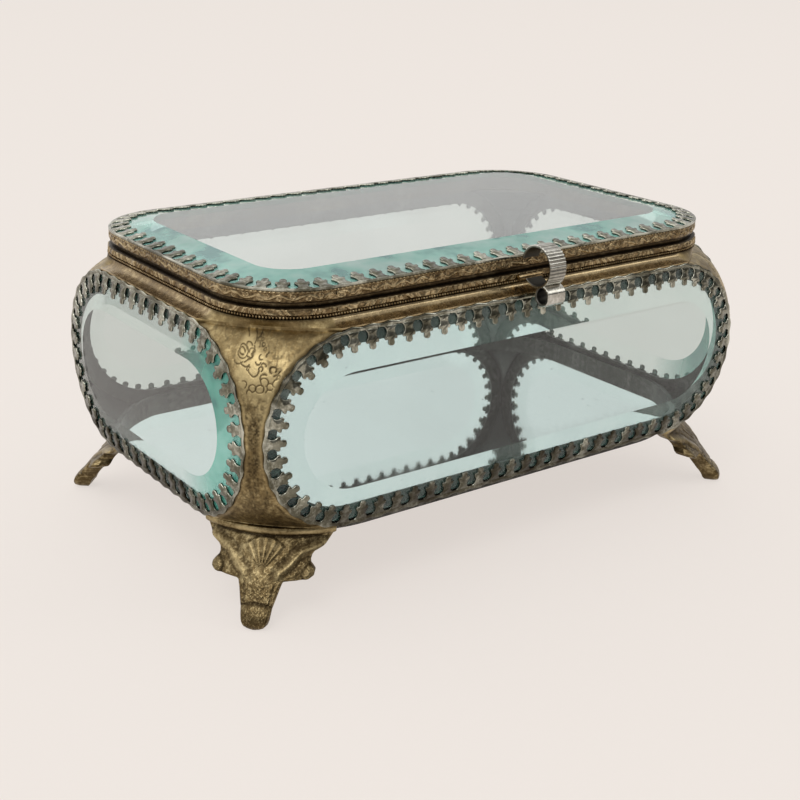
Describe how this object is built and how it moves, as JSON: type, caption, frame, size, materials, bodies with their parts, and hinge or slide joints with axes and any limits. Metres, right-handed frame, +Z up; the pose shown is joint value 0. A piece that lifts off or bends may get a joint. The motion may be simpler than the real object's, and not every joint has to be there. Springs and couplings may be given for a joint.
{
  "type": "jewelry box",
  "caption": "Antique style gilt brass and bevelled glass jewelry casket with a hinged lid, spring clasp, mirror floor and cast splayed feet.",
  "frame": {"origin": "on the table, under the middle of the whole casket's box", "axes": "+X along the front to the right, +Y from the clasp to the hinge, +Z up"},
  "size_m": [0.1522, 0.1, 0.0752],
  "materials": {
    "gilt_brass": "aged gilt stamped brass, dark in the hollows",
    "etched_brass": "aged brass sheet with etched scrolls",
    "cast_brass": "stippled casting, worn bright on the ridges",
    "claw_metal": "grey patinated nickel silver",
    "clasp_silver": "ribbed, worn silver plate",
    "pin_steel": "plain wire",
    "bevelled_glass": "clear, faintly green",
    "mirror_floor": "old silvered glass"
  },
  "bodies": {
    "case": {"back_claw_strip": "claw_metal", "back_glass": "bevelled_glass", "back_panel_frame": "gilt_brass", "bottom_frame": "gilt_brass", "bottom_mirror": "mirror_floor", "bottom_plate": "gilt_brass", "catch_stud": "gilt_brass", "corner_post_back_left": "etched_brass", "corner_post_back_right": "etched_brass", "corner_post_front_left": "etched_brass", "corner_post_front_right": "etched_brass", "foot_back_left": "cast_brass", "foot_back_right": "cast_brass", "foot_front_left": "cast_brass", "foot_front_right": "cast_brass", "front_claw_strip": "claw_metal", "front_glass": "bevelled_glass", "front_panel_frame": "gilt_brass", "hinge_leaf_case": "gilt_brass", "hinge_pin": "pin_steel", "left_claw_strip": "claw_metal", "left_glass": "bevelled_glass", "left_panel_frame": "gilt_brass", "neck_cove": "gilt_brass", "right_claw_strip": "claw_metal", "right_glass": "bevelled_glass", "right_panel_frame": "gilt_brass", "upper_rim": "gilt_brass"},
    "lid": {"lid_rim": "gilt_brass", "lid_claw_strip": "claw_metal", "lid_glass": "bevelled_glass", "hinge_leaf_lid": "gilt_brass"},
    "clasp": {"clasp_strap": "clasp_silver"}
  },
  "joints": [
    {"name": "lid_hinge", "type": "hinge", "parent": "case", "child": "lid", "pos_m": [0, 0.04676, 0.0684], "axis": [-1, 0, 0], "range_deg": [0, 100]},
    {"name": "clasp_spring", "type": "hinge", "parent": "lid", "child": "clasp", "pos_m": [0.002, -0.03934, 0.0714], "axis": [-1, 0, 0], "range_deg": [0, 10], "stiffness_Nm_per_rad": 0.3}
  ]
}
